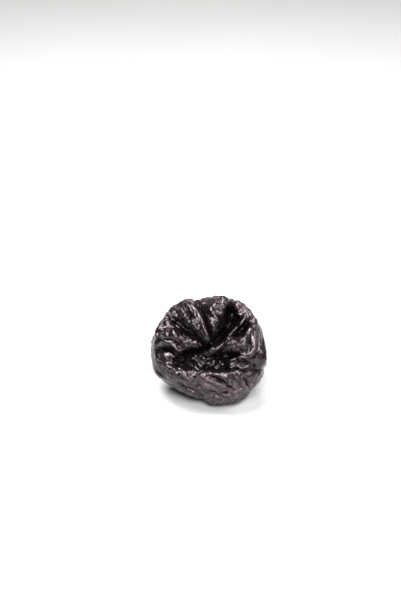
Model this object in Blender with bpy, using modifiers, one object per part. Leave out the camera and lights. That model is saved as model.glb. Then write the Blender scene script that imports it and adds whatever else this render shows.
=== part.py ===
"""Pitted prune: one plump dried fruit, lying back on its belly with the pinched pit mouth up and forward.

The fruit is one closed solid. A ball of directions is carried out to a squashed, sagging lump.
The folds are then raised from that lump or sunk into it by a formula: named crests and creases on the face,
and round the rest folds that run from the shoulder to the puckered back.
Lengths are in millimetres until the mesh is made.
"""
import math

import bmesh
import bpy
import numpy as np

MM = 0.001

# Driving dimensions, mm
HALF_WIDTH = 17.5
HALF_HEIGHT = 17.4
HALF_THICKNESS = 11.6
ROUNDNESS = 2.12
MIDDLE_ABOVE_TABLE = 13.0
SAG_DEPTH = 2.6
DISH_DEPTH = 1.9
DISH_INNER_RADIUS = 4.5
DISH_OUTER_RADIUS = 15.5
SHOULDER_FOLD_HEIGHT = 1.0
SHOULDER_FOLD_COUNT = 3.6
PUCKER_DEPTH = 2.0
PUCKER_RADIUS = 3.6
BACK_WRINKLE_SPACING = 2.8
BACK_WRINKLE_HEIGHT = 0.4
WRINKLE_SPACING = 3.4
WRINKLE_HEIGHT = 0.16
FACE_WRINKLE_HEIGHT = 0.12
NARROWEST_FOLD = 0.95

# How far from its route a fold is still felt, mm
FOLD_REACH = 6.0

# How the fruit lies: the folds are laid out as seen from 28 degrees above the table,
# and the face looks up at 50 degrees
VIEW_RISE = math.radians(28)
FACE_RISE = math.radians(50)

# Faces along one side of the cube that the ball of directions comes from,
# and how far they crowd towards the face
GRID = 96
CROWDING = 0.35

# The solid's own faces: even and small at first, then merged to this share where the skin is smooth
FACE_SIZE = 0.5
SHARE_OF_FACES_KEPT = 0.27

# Outline from the front: (turn from +X in degrees, reach in mm)
OUTLINE = [
    (-11, 17.9), (10, 17.2), (32, 17.1), (49, 17.8), (67, 18.1), (85, 17.0), (100, 16.7), (120, 17.2),
    (136, 17.6), (150, 16.9), (162, 17.0), (173, 17.3), (185, 17.4), (199, 17.5), (212, 16.2), (231, 14.7),
    (249, 14.5), (264, 15.3), (282, 16.9), (302, 17.8), (320, 17.5), (337, 17.6),
]

# Folds of the face: name: (height, width on the left of the route, width on its right, route).
# A route's points are (across, up, share of the height, share of the widths).
FOLDS = {
    # pinched mouth and the creases that run out of it
    "mouth": (-8.0, 1.0, 1.0, [
        (7.4, 17.8, 0.25, 0.6), (7.2, 15.4, 0.45, 0.8), (6.7, 13.0, 0.8, 1.3), (7.1, 10.6, 1, 2.5),
        (6.5, 8.2, 1, 2.4), (5.2, 6.1, 1, 2.0), (3.5, 4.2, 0.95, 1.6), (1.6, 2.7, 0.85, 1.2),
        (-0.6, 1.4, 0.6, 0.9)]),
    "mouth tail": (-3.4, 1.0, 1.0, [
        (-0.4, 1.5, 0.8), (-2.4, 0.8, 1), (-4.8, 0.0, 1), (-7.0, -0.8, 1), (-8.6, -2.0, 0.4)]),
    "pleat cleft": (-3.2, 1.0, 1.0, [
        (-3.8, 16.0, 0.2, 0.8), (-2.9, 13.6, 0.85, 1.1), (-1.5, 11.4, 1, 0.8), (-0.8, 9.4, 1, 0.6),
        (-0.1, 7.4, 1, 0.6), (0.5, 5.6, 1, 0.7), (1.0, 4.2, 0.7, 0.8)]),
    "left hollow": (-3.6, 1.0, 1.0, [
        (-11.4, 9.6, 0.4, 0.8), (-9.8, 9.0, 0.9, 1.5), (-7.8, 7.8, 1, 1.7), (-5.6, 6.1, 1, 1.5),
        (-3.4, 4.5, 1, 1.1), (-1.4, 2.9, 0.7, 0.8)]),
    "hollow pocket": (-1.9, 0.7, 0.6, [
        (-7.4, 12.6, 0.3), (-6.3, 11.2, 1), (-5.3, 9.8, 1), (-5.0, 8.4, 0.4)]),
    "pleat valley": (-0.8, 0.4, 0.4, [
        (-5.8, 13.7, 0.5), (-4.1, 11.8, 1), (-2.9, 9.9, 0.9), (-2.2, 8.0, 0.3)]),
    "trench": (-4.4, 1.0, 1.0, [
        (-11.3, -3.0, 0.2, 1.1), (-9.6, -3.2, 0.6, 1.5), (-7.2, -3.1, 0.9, 1.8), (-3.0, -3.1, 1, 2.1),
        (1.6, -3.3, 1, 1.9), (4.6, -3.9, 0.5, 1.2)]),
    "lip groove": (-2.3, 1.0, 1.0, [
        (-1.0, -5.2, 0.5, 0.9), (2.5, -5.4, 0.9, 0.9), (4.8, -5.0, 1, 0.7), (6.6, -5.5, 0.9, 0.55),
        (8.4, -5.1, 0.7, 0.45), (10.4, -5.7, 0.55, 0.42), (12.4, -5.3, 0.5, 0.42),
        (14.4, -5.7, 0.5, 0.42), (16.4, -5.3, 0.5, 0.42), (18.8, -5.2, 0.5, 0.5)]),
    "right groove": (-3.0, 0.9, 0.9, [
        (1.4, -1.6, 0.6), (3.6, -1.7, 1), (6.0, -1.3, 1), (8.4, -0.6, 0.7), (10.0, -0.1, 0.2)]),
    "right hollow": (-4.2, 1.0, 1.0, [
        (12.7, 9.1, 0.2, 0.5), (11.8, 8.2, 0.9, 0.9), (10.3, 6.6, 1, 1.4), (8.8, 5.1, 1, 1.2),
        (7.1, 4.1, 0.6, 0.7)]),
    "side hollow": (-1.3, 0.8, 0.8, [
        (12.9, 5.0, 0.5), (12.8, 2.8, 1), (11.8, 0.8, 0.6)]),
    "edge cleft": (-0.9, 0.42, 0.42, [
        (14.5, 8.2, 0.5), (15.2, 6.6, 1), (15.6, 4.6, 1), (15.8, 2.8, 0.9), (16.0, 0.8, 0.7),
        (16.3, -1.6, 0.3)]),
    "rim valley": (-1.3, 0.55, 0.55, [
        (-12.2, 8.1, 0.4), (-13.7, 6.7, 1), (-14.8, 4.8, 1), (-15.3, 2.8, 0.4)]),
    "lobe valley": (-1.0, 0.4, 0.4, [
        (-15.2, 3.1, 0.4), (-12.6, 3.2, 1), (-10.0, 3.0, 0.9), (-8.8, 2.2, 0.3)]),
    "left pocket": (-1.9, 0.9, 0.9, [
        (-14.6, 0.8, 0.5), (-12.6, 0.8, 1), (-10.8, 0.1, 0.9), (-9.4, -0.8, 0.5)]),
    "belly valley": (-1.5, 0.8, 0.6, [
        (-13.2, -7.8, 0.2), (-11.2, -8.6, 0.7), (-9.4, -9.4, 1), (-7.4, -10.1, 1), (-5.4, -10.9, 1),
        (-3.6, -11.6, 0.9), (-1.8, -12.9, 0.7), (-1.1, -14.6, 0.3)]),
    "lip valley": (-1.0, 0.5, 0.5, [
        (-1.2, -7.2, 0.3), (0.3, -7.3, 0.8), (1.7, -7.6, 1), (3.0, -8.2, 1), (4.4, -9.1, 1),
        (5.8, -10.1, 0.8), (7.2, -10.8, 0.2)]),
    "under fold": (-1.1, 0.55, 0.55, [
        (-0.8, -10.9, 0.3), (0.7, -11.5, 1), (2.2, -12.1, 0.7), (3.4, -12.4, 0.2)]),
    "fold end": (-1.0, 0.5, 0.5, [
        (4.2, -11.5, 0.3), (5.3, -12.0, 1), (6.2, -12.2, 0.3)]),
    "second valley": (-0.9, 0.42, 0.42, [
        (9.2, -7.2, 0.2), (10.2, -8.0, 1), (10.8, -8.9, 0.5), (11.3, -10.0, 1), (11.6, -10.8, 0.2)]),
    "low valley": (-0.5, 0.4, 0.4, [
        (14.4, -10.4, 0.3), (12.0, -11.9, 1), (9.8, -13.3, 0.8), (8.4, -14.8, 0.2)]),
    # crests of skin, left half
    "pleat": (2.4, 1.3, 0.7, [
        (-7.6, 15.4, 0.3, 1.3), (-6.2, 14.5, 0.8, 1.3), (-4.9, 13.3, 1), (-3.5, 11.8, 1),
        (-2.5, 10.1, 1), (-1.8, 8.2, 1), (-1.2, 6.4, 1), (-0.4, 4.6, 0.6)]),
    "pleat inner": (1.3, 0.5, 0.5, [
        (-6.6, 12.6, 0.5), (-5.0, 11.6, 1), (-3.9, 10.5, 1), (-3.3, 9.2, 0.4)]),
    "pleat slope": (2.6, 1.9, 2.0, [
        (-5.2, 10.2, 0.4), (-4.2, 8.0, 1), (-3.0, 6.0, 1), (-1.5, 4.0, 0.8)]),
    "lobe inner": (1.8, 1.5, 0.8, [
        (-8.6, 13.6, 0.4), (-7.8, 11.9, 0.8), (-7.1, 10.3, 1), (-6.5, 9.0, 1), (-6.5, 7.8, 0.3)]),
    "upper lobe": (1.6, 1.9, 1.9, [
        (-11.9, 10.2, 0.4), (-9.9, 11.3, 1), (-7.9, 12.2, 0.8)]),
    "hollow thread": (1.0, 0.45, 0.45, [
        (-9.9, 6.9, 0.5), (-8.2, 6.5, 1), (-7.1, 5.7, 1), (-6.4, 4.8, 1), (-5.2, 4.0, 0.4)]),
    "left rim": (1.7, 0.6, 0.6, [
        (-10.4, 12.0, 0.2), (-11.4, 10.7, 0.7), (-12.6, 9.4, 1), (-13.8, 8.1, 1), (-15.0, 6.7, 1),
        (-16.0, 5.2, 1), (-16.7, 3.6, 0.7), (-16.9, 1.8, 0.3)]),
    "left lobe": (2.2, 1.9, 1.7, [
        (-14.2, 5.3, 0.6), (-12.2, 4.8, 1), (-9.8, 4.4, 1), (-7.4, 3.6, 0.5)]),
    "lobe streak": (0.9, 0.4, 0.4, [
        (-11.2, 6.8, 0.5), (-10.3, 5.7, 1), (-9.4, 4.3, 1), (-8.9, 3.3, 0.3)]),
    "left brow": (1.3, 0.5, 0.5, [
        (-14.6, 1.9, 0.5), (-13.2, 2.5, 1), (-12.0, 2.2, 1), (-10.9, 1.8, 1), (-9.8, 1.0, 1),
        (-8.8, 0.3, 0.4)]),
    "slope foot": (1.6, 1.2, 0.9, [
        (-7.8, 2.7, 0.5), (-5.8, 2.6, 1), (-4.0, 2.4, 1), (-2.4, 1.8, 0.5)]),
    "tail crest": (1.3, 0.5, 0.5, [
        (-7.6, 0.4, 0.5), (-6.6, 1.1, 1), (-5.6, 1.2, 1), (-4.6, 1.0, 0.5)]),
    "left crumb": (0.9, 0.4, 0.4, [
        (-13.2, -4.1, 0.4), (-12.2, -4.4, 1), (-11.7, -5.3, 0.5)]),
    "lower crumb": (0.9, 0.4, 0.4, [
        (-10.9, -4.8, 0.4), (-10.2, -5.3, 1), (-9.6, -5.9, 0.4)]),
    "left arc": (0.9, 0.4, 0.4, [
        (-7.7, -2.9, 0.4), (-7.5, -3.6, 1), (-8.3, -4.5, 0.5)]),
    "belly plate": (1.0, 1.3, 1.3, [
        (-10.8, -7.0, 0.8), (-7.6, -7.6, 1), (-4.6, -8.4, 0.8)]),
    "belly rim": (1.2, 0.6, 0.5, [
        (-16.9, -5.3, 0.5), (-15.6, -7.2, 1), (-13.4, -8.6, 1), (-11.0, -9.7, 1), (-8.6, -10.8, 1),
        (-6.2, -11.9, 1), (-4.0, -12.8, 0.5)]),
    # crests of skin, right half
    "tongue": (2.3, 2.0, 1.9, [
        (2.6, 15.8, 0.5), (2.0, 13.0, 0.9), (1.6, 10.0, 1), (1.3, 7.4, 1), (0.9, 5.2, 0.6)]),
    "tongue pleat": (1.2, 0.5, 0.5, [
        (-2.7, 16.4, 0.6), (-2.2, 15.3, 1), (-1.4, 14.3, 1), (-0.2, 13.0, 1), (0.9, 11.9, 0.8),
        (1.8, 10.8, 0.3)]),
    "top lump": (1.0, 1.0, 0.9, [
        (4.0, 16.0, 0.3), (4.7, 14.7, 1), (5.4, 13.4, 0.7)]),
    "thin crest": (3.0, 0.45, 0.45, [
        (7.2, 12.0, 0.2), (8.1, 12.2, 0.5), (9.1, 11.9, 0.75), (9.9, 11.0, 0.8), (10.5, 10.0, 0.85),
        (10.4, 9.3, 0.9), (9.8, 8.4, 1), (8.6, 7.2, 1), (7.4, 6.1, 1), (6.2, 5.0, 1), (5.2, 3.9, 1),
        (4.4, 2.8, 1), (3.6, 1.6, 0.9), (2.6, 0.5, 0.8), (1.2, -0.6, 0.6), (-0.4, -1.1, 0.2)]),
    "gleam": (1.3, 0.5, 0.55, [
        (-1.0, 0.1, 0.4), (0.1, 0.8, 1, 1.2), (1.1, 1.5, 1), (2.0, 2.6, 0.3)]),
    "side crest": (1.6, 0.55, 0.45, [
        (13.6, 8.3, 0.5), (14.2, 7.3, 0.9), (14.6, 6.0, 1), (14.7, 4.6, 1), (14.6, 3.2, 1),
        (14.2, 1.8, 1), (13.7, 0.4, 0.9), (12.8, -0.8, 0.5)]),
    "side flap": (0.9, 0.6, 0.6, [
        (13.6, 7.4, 0.6), (12.7, 6.7, 1), (11.8, 6.0, 0.5)]),
    "side rim": (1.4, 0.5, 0.7, [
        (8.0, 15.4, 0.4), (9.7, 14.3, 0.7), (11.1, 13.0, 0.9), (12.2, 11.6, 1), (13.2, 10.4, 1),
        (14.3, 9.0, 1), (15.2, 7.6, 1), (15.8, 6.1, 1), (16.3, 4.4, 1), (16.6, 2.4, 1), (16.8, 0.4, 1),
        (17.0, -1.7, 1), (17.2, -3.6, 0.6)]),
    "side inner": (1.0, 0.45, 0.45, [
        (10.4, 2.0, 0.4), (10.9, 3.4, 1), (11.4, 4.5, 1), (12.3, 5.5, 0.5)]),
    "lobe swell": (2.0, 1.7, 1.6, [
        (5.4, 2.7, 0.6), (7.4, 2.2, 1), (9.8, 1.2, 0.8)]),
    "stria 1": (0.8, 0.35, 0.35, [
        (5.4, 3.5, 0.5), (5.9, 2.4, 1), (6.2, 1.2, 0.5)]),
    "stria 2": (0.8, 0.35, 0.35, [
        (6.4, 3.7, 0.5), (6.8, 2.7, 1), (6.9, 1.6, 0.4)]),
    "stria 3": (0.8, 0.35, 0.35, [
        (7.3, 4.0, 0.4), (7.6, 3.0, 1), (7.8, 1.8, 0.5)]),
    "stria 4": (0.9, 0.4, 0.4, [
        (8.2, 2.7, 0.5), (8.9, 2.0, 1), (10.0, 1.2, 0.6)]),
    "stria 5": (0.8, 0.4, 0.4, [
        (6.9, 1.0, 0.4), (7.8, 0.8, 1), (8.8, 0.3, 0.4)]),
    "groove arc": (0.8, 0.35, 0.35, [
        (6.7, -1.9, 0.3), (7.6, -1.2, 1), (8.4, -1.1, 1), (9.2, -1.8, 0.4)]),
    "right basin": (-1.1, 1.5, 1.3, [
        (4.8, -3.5, 0.6), (8.4, -3.5, 1), (12.0, -3.6, 0.8), (14.4, -3.9, 0.3)]),
    "right streak": (0.8, 0.45, 0.45, [
        (9.8, -1.4, 0.5), (11.0, -2.1, 1), (12.0, -3.0, 0.4)]),
    "island": (3.0, 1.4, 1.4, [
        (-5.4, -2.9, 0.4), (-2.2, -3.2, 1), (0.6, -3.0, 1), (2.0, -3.5, 0.4)]),
    "island left": (0.9, 0.45, 0.45, [
        (-5.2, -2.1, 0.4), (-4.2, -2.3, 1), (-3.2, -2.7, 0.4)]),
    "island curl": (1.1, 0.4, 0.4, [
        (-2.2, -2.2, 0.4), (-0.8, -2.3, 1), (0.4, -1.9, 1), (1.3, -1.8, 1), (1.8, -2.6, 1),
        (1.5, -3.8, 1), (0.7, -4.3, 1), (-0.1, -3.8, 0.4)]),
    "island hook": (1.0, 0.4, 0.4, [
        (-2.9, -3.5, 0.4), (-2.6, -4.2, 1), (-1.9, -4.3, 1), (-1.4, -3.8, 0.4)]),
    "lip crest": (1.6, 0.9, 0.8, [
        (-2.8, -7.2, 0.4), (-1.2, -6.5, 1), (0.6, -6.3, 1), (2.2, -6.5, 1), (3.4, -7.0, 1),
        (4.4, -7.7, 1), (5.3, -8.5, 1), (6.2, -9.1, 0.8), (7.4, -9.5, 0.3)]),
    "lip fold": (2.4, 0.6, 1.2, [
        (-2.6, -7.6, 0.4), (-1.2, -7.9, 0.9), (0.2, -8.2, 1), (1.5, -8.6, 1), (2.8, -9.3, 1),
        (4.0, -10.1, 1), (5.0, -10.8, 1), (6.0, -11.4, 0.4)]),
    "lip fold low": (1.1, 0.5, 0.5, [
        (-1.9, -9.2, 0.5), (-0.5, -10.1, 1), (0.8, -10.6, 0.7), (1.9, -11.2, 0.2)]),
    "lip shoulder": (1.9, 0.9, 0.8, [
        (5.2, -6.9, 0.5), (5.9, -6.3, 1), (6.8, -5.9, 1), (7.8, -6.0, 1), (8.8, -6.5, 0.8),
        (9.8, -7.3, 0.3)]),
    "second ridge": (0.9, 0.5, 0.5, [
        (5.6, -7.0, 0.4), (7.9, -7.6, 1), (9.6, -8.9, 1), (10.5, -10.4, 0.4)]),
    "cheek": (1.2, 1.9, 1.9, [
        (11.0, -7.1, 0.7), (13.0, -7.4, 1), (15.2, -7.6, 0.7)]),
    "cheek edge": (0.8, 0.35, 0.45, [
        (12.2, -5.9, 0.4), (13.3, -5.7, 1), (14.8, -6.2, 0.4)]),
    "low crest": (0.9, 0.5, 0.5, [
        (15.4, -8.7, 0.4), (13.9, -9.7, 1), (12.4, -10.5, 1), (10.9, -11.4, 1), (9.4, -12.2, 1),
        (8.3, -13.0, 0.8), (7.5, -14.2, 0.3)]),
    "low swell": (0.6, 0.9, 0.9, [
        (1.2, -14.2, 0.5), (4.0, -13.6, 1), (6.8, -12.9, 0.6)]),
}

RIGHT = np.array([1.0, 0.0, 0.0])
VIEW_UP = np.array([0.0, math.sin(VIEW_RISE), math.cos(VIEW_RISE)])
TO_VIEWER = np.array([0.0, -math.cos(VIEW_RISE), math.sin(VIEW_RISE)])
FACE_UP = np.array([0.0, math.sin(FACE_RISE), math.cos(FACE_RISE)])
FACE_OUT = np.array([0.0, -math.cos(FACE_RISE), math.sin(FACE_RISE)])


def unit(vectors):
    """Vectors of length one."""
    return vectors / np.linalg.norm(vectors, axis=-1, keepdims=True)


def smoothstep(low, high, x):
    """Nought at low, one at high, with a smooth start and end."""
    t = np.clip((x - low) / (high - low), 0, 1)
    return t * t * (3 - 2 * t)


def lattice_value(cell, seed):
    """Even spread of numbers from 0 to 1, one for each whole-number cell."""
    n = cell[:, 0] * 374761393 + cell[:, 1] * 668265263 + cell[:, 2] * 2147483647
    n = (n + seed * 1274126177) & 0xFFFFFFFF
    n = ((n ^ (n >> 13)) * 1274126177) & 0xFFFFFFFF
    n = ((n ^ (n >> 15)) * 2246822519) & 0xFFFFFFFF
    return ((n ^ (n >> 16)) & 0xFFFFFFFF) / 4294967296.0


def noise(points, seed):
    """Gradient noise: a random slope at each lattice corner, blended by a smooth quintic weight."""
    cell = np.floor(points).astype(np.int64)
    offset = points - cell
    weight = offset * offset * offset * (offset * (offset * 6 - 15) + 10)
    total = np.zeros(len(points))
    for corner in np.ndindex(2, 2, 2):
        share = np.prod(np.where(corner, weight, 1 - weight), axis=1)
        turn = 2 * math.pi * lattice_value(cell + corner, seed)
        rise = 2 * lattice_value(cell + corner, seed + 57) - 1
        level = np.sqrt(1 - rise * rise)
        slope = np.stack([level * np.cos(turn), level * np.sin(turn), rise], axis=1)
        total += share * ((offset - corner) * slope).sum(axis=1)
    return 1.6 * total


def noise_vector(points, seed):
    """Three noises at once, for shifting points about."""
    return np.stack([noise(points, seed), noise(points, seed + 1), noise(points, seed + 2)], axis=1)


def ridged(points, seed, softness):
    """Crests along the noise's zero lines, from about -1 in the hollows to 1 on a crest."""
    n = noise(points, seed)
    return 1 - 2 * np.sqrt(n * n + softness * softness)


def smooth_route(points, steps=5):
    """Catmull-Rom curve through a route's points, read at even steps."""
    route = np.array([tuple(p) + (1.0,) * (4 - len(p)) for p in points])
    route = np.vstack([2 * route[0] - route[1], route, 2 * route[-1] - route[-2]])
    t = np.linspace(0, 1, steps, endpoint=False)[:, None]
    spans = []
    for a, b, c, d in zip(route, route[1:], route[2:], route[3:]):
        bend = (2 * a - 5 * b + 4 * c - d) * t ** 2
        twist = (3 * b - a - 3 * c + d) * t ** 3
        spans.append(0.5 * (2 * b + (c - a) * t + bend + twist))
    return np.vstack(spans + [route[-2:-1]])


def dish(across, up):
    """How far the face is dished, mm: deepest round its middle, nothing near the outline."""
    from_middle = np.hypot(across - 0.5, 1.05 * (up - 3.0))
    return DISH_DEPTH * (1 - smoothstep(DISH_INNER_RADIUS, DISH_OUTER_RADIUS, from_middle))


def skin_lean(across, up):
    """Normal of a plain ellipsoid with the fruit's half sizes where it is seen at (across, up).

    The depth of the point comes from the ellipsoid's equation, a quadratic in the depth.
    """
    lift = FACE_OUT @ VIEW_UP
    level = FACE_OUT @ TO_VIEWER
    square = (lift / HALF_HEIGHT) ** 2 + (level / HALF_THICKNESS) ** 2
    single = lift * level * up * (1 / HALF_THICKNESS ** 2 - 1 / HALF_HEIGHT ** 2)
    rest = (level * up / HALF_HEIGHT) ** 2 + (lift * up / HALF_THICKNESS) ** 2
    rest += (across / HALF_WIDTH) ** 2 - 1
    depth = (np.sqrt(np.maximum(single ** 2 - square * rest, 0)) - single) / square
    normals = np.outer(across / HALF_WIDTH ** 2, RIGHT)
    normals += np.outer((level * up - lift * depth) / HALF_HEIGHT ** 2, FACE_UP)
    normals += np.outer((lift * up + level * depth) / HALF_THICKNESS ** 2, FACE_OUT)
    return unit(normals)


def along_route(across, up, route):
    """Signed distance to a route, positive on its left, and the shares of height and width there."""
    nearest = np.full(len(across), np.inf)
    side = np.zeros(len(across))
    shares = np.zeros((len(across), 2))
    for start, end in zip(route, route[1:]):
        step = end[:2] - start[:2]
        dx = across - start[0]
        dy = up - start[1]
        t = np.clip((dx * step[0] + dy * step[1]) / (step @ step), 0, 1)
        gap = np.hypot(dx - t * step[0], dy - t * step[1])
        closer = gap < nearest
        nearest = np.where(closer, gap, nearest)
        side = np.where(closer, np.sign(step[0] * dy - step[1] * dx), side)
        shares = np.where(closer[:, None], start[2:] + np.outer(t, end[2:] - start[2:]), shares)
    return nearest * np.where(side < 0, -1, 1), shares


def fold_sum(across, up, routes):
    """Sum of the named folds: a crest is a narrow rounded ridge, a crease a trough with a soft floor."""
    total = np.zeros(len(across))
    for name, (height, left, right, _) in FOLDS.items():
        route = routes[name]
        low = route[:, :2].min(axis=0) - FOLD_REACH
        high = route[:, :2].max(axis=0) + FOLD_REACH
        near = np.flatnonzero((across > low[0]) & (across < high[0]) & (up > low[1]) & (up < high[1]))
        gap, shares = along_route(across[near], up[near], route)
        width = np.maximum(np.where(gap > 0, left, right) * shares[:, 1], NARROWEST_FOLD)
        x = np.abs(gap) / width
        if height > 0:
            profile = np.exp(-0.8 * x * x)
        else:
            profile = np.exp(-(x ** 2.2))
        total[near] += height * shares[:, 0] * profile
    return total


def named_routes():
    """The folds' routes as they are seen from the front."""
    return {name: smooth_route(fold[3]) for name, fold in FOLDS.items()}


def foot_routes():
    """The folds' routes where they leave the lump, for them to be seen on the named points.

    Each route is moved against the way that the skin carries it as it rises or sinks along its normal,
    by the mean rise along the route.
    """
    routes = named_routes()
    corners = np.vstack(list(routes.values()))
    normals = skin_lean(corners[:, 0], corners[:, 1])
    facing = smoothstep(0.15, 0.65, normals @ TO_VIEWER)
    rise = fold_sum(corners[:, 0], corners[:, 1], routes) * (0.5 + 0.5 * facing)
    rise -= dish(corners[:, 0], corners[:, 1])
    rise *= 1 - smoothstep(-0.4, -2.5, rise)
    start = 0
    for name, route in routes.items():
        end = start + len(route)
        mean_rise = rise[start:end].mean()
        route[:, 0] -= mean_rise * (normals[start:end] @ RIGHT)
        route[:, 1] -= mean_rise * (normals[start:end] @ VIEW_UP)
        start = end
    return routes


def outline_reach(turn):
    """Reach of the outline at each turn: a weighted mean of the named reaches, near ones counting most."""
    named_turns = np.radians([turn_reach[0] for turn_reach in OUTLINE])
    named_reaches = np.array([turn_reach[1] for turn_reach in OUTLINE])
    weights = np.exp((np.cos(turn[:, None] - named_turns) - 1) / 0.022)
    return (weights * named_reaches).sum(axis=1) / weights.sum(axis=1)


def lump(directions):
    """Squashed ball that sags low at the back and is drawn to the outline as seen from the front."""
    across = np.abs(directions @ RIGHT) / HALF_WIDTH
    up = np.abs(directions @ FACE_UP) / HALF_HEIGHT
    out = np.abs(directions @ FACE_OUT) / HALF_THICKNESS
    reach = (across ** ROUNDNESS + up ** ROUNDNESS + out ** ROUNDNESS) ** (-1 / ROUNDNESS)
    low_back = unit(np.array([0.05, 0.42, -0.9]))
    reach += SAG_DEPTH * np.exp((directions @ low_back - 1) / 0.22)
    points = directions * reach[:, None]
    x = points @ RIGHT
    y = points @ VIEW_UP
    stretch = (outline_reach(np.arctan2(y, x)) - 0.62) / 17.3 - 1
    stretch *= smoothstep(2, 10, np.hypot(x, y))
    return points + np.outer(x * stretch, RIGHT) + np.outer(y * stretch, VIEW_UP)


def prune_surface(directions):
    """The lump with its dished face, named folds, shoulder folds, puckered back and wrinkles."""
    points = lump(directions)
    across = points @ RIGHT
    face_up = points @ FACE_UP
    face_out = points @ FACE_OUT
    up = points @ VIEW_UP
    normals = np.outer(across / HALF_WIDTH ** 2, RIGHT)
    normals += np.outer(face_up / HALF_HEIGHT ** 2, FACE_UP)
    normals += np.outer(face_out / HALF_THICKNESS ** 2, FACE_OUT)
    normals = unit(normals)

    front = smoothstep(-4.0, 0.5, points @ TO_VIEWER)
    facing = smoothstep(0.15, 0.65, normals @ TO_VIEWER)
    folds = fold_sum(across, up, foot_routes())
    height = front * (folds * (0.5 + 0.5 * facing) - dish(across, up))

    # rounded folds that run from the shoulder over the side to the back, with narrow creases between them
    turn = np.arctan2(face_up, across)
    ring = np.hypot(across, face_up)
    spread = 0.35 + 0.65 * np.clip(ring / 17, 0, 1)
    round_count = SHOULDER_FOLD_COUNT
    lengthwise = np.stack([round_count * np.cos(turn), round_count * np.sin(turn), face_out / 16], axis=1)
    shoulder = ridged(lengthwise * spread[:, None] + 0.35 * noise_vector(points / 6, 31), 34, 0.1)
    behind = 1 - front
    height -= behind * (SHOULDER_FOLD_HEIGHT * shoulder + 0.35) * (0.5 + 0.5 * spread)
    back = smoothstep(-2, -9, face_out)
    height -= PUCKER_DEPTH * back * np.exp(-(np.hypot(across + 1, face_up - 1) / PUCKER_RADIUS) ** 2)

    # wrinkles all over, a little lower on the face
    drift = 1.6 * noise_vector(points / 5, 11)
    on_face = smoothstep(-0.2, 0.5, directions @ FACE_OUT)
    wrinkle_height = WRINKLE_HEIGHT + (FACE_WRINKLE_HEIGHT - WRINKLE_HEIGHT) * on_face
    height += wrinkle_height * ridged((points + drift) / WRINKLE_SPACING, 21, 0.05)
    height += behind * BACK_WRINKLE_HEIGHT * ridged((points + drift) / BACK_WRINKLE_SPACING, 27, 0.08)

    # shallow folds move along the skin's own normal, deep ones straight back from the viewer
    deep = (smoothstep(-0.4, -2.5, height) * front * facing)[:, None]
    points = points + unit(normals * (1 - deep) + TO_VIEWER * deep) * height[:, None]

    # the belly is pressed flat where it lies on the table
    points[:, 2] = np.maximum(points[:, 2] + MIDDLE_ABOVE_TABLE, 0.0)
    return points


def ball_mesh(name):
    """Cube with its sides divided into a grid, blown up to a ball that is finest on the fruit's face."""
    ball = bmesh.new()
    bmesh.ops.create_cube(ball, size=2.0)
    bmesh.ops.subdivide_edges(ball, edges=ball.edges[:], cuts=GRID - 1, use_grid_fill=True)
    mesh = bpy.data.meshes.new(name)
    ball.to_mesh(mesh)
    ball.free()
    corners = np.empty(3 * len(mesh.vertices))
    mesh.vertices.foreach_get("co", corners)
    even = unit(np.tan(corners.reshape(-1, 3) * math.pi / 4))
    directions = np.outer(even[:, 0], RIGHT)
    directions -= np.outer(even[:, 1], FACE_OUT)
    directions += np.outer(even[:, 2], FACE_UP)
    return mesh, unit(directions + CROWDING * FACE_OUT)


def skin_material():
    """Dried plum skin: near black with a purple brown cast, and glossy."""
    material = bpy.data.materials.new("prune skin")
    material.use_nodes = True
    shader = material.node_tree.nodes["Principled BSDF"]
    shader.inputs["Base Color"].default_value = (0.020, 0.010, 0.013, 1.0)
    shader.inputs["Roughness"].default_value = 0.32
    shader.inputs["Metallic"].default_value = 0.0
    return material


def build_prune(collection):
    mesh, directions = ball_mesh("prune")
    mesh.vertices.foreach_set("co", (prune_surface(directions) * MM).ravel())
    mesh.shade_smooth()
    mesh.materials.append(skin_material())
    mesh.update()
    prune = bpy.data.objects.new("prune", mesh)
    collection.objects.link(prune)
    even_faces = prune.modifiers.new("even faces", "REMESH")
    even_faces.mode = "VOXEL"
    even_faces.voxel_size = FACE_SIZE * MM
    even_faces.use_smooth_shade = True
    fewer_faces = prune.modifiers.new("fewer faces", "DECIMATE")
    fewer_faces.decimate_type = "COLLAPSE"
    fewer_faces.ratio = SHARE_OF_FACES_KEPT
    fewer_faces.use_collapse_triangulate = True
    return prune


def main():
    for old in list(bpy.data.objects):
        bpy.data.objects.remove(old, do_unlink=True)
    collection = bpy.data.collections.new("pitted prune")
    bpy.context.scene.collection.children.link(collection)
    build_prune(collection)


main()
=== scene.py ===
"""Pitted prune on a pale table: one plump dried fruit with its pinched pit mouth up and forward.

The skin is a ball of directions carried out to a squashed, sagging lump, with named folds raised from it,
folds that run over the shoulder to the puckered back, and finer wrinkles all over. Lengths of the shape are
in millimetres until the mesh is made.
"""
import math

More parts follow.
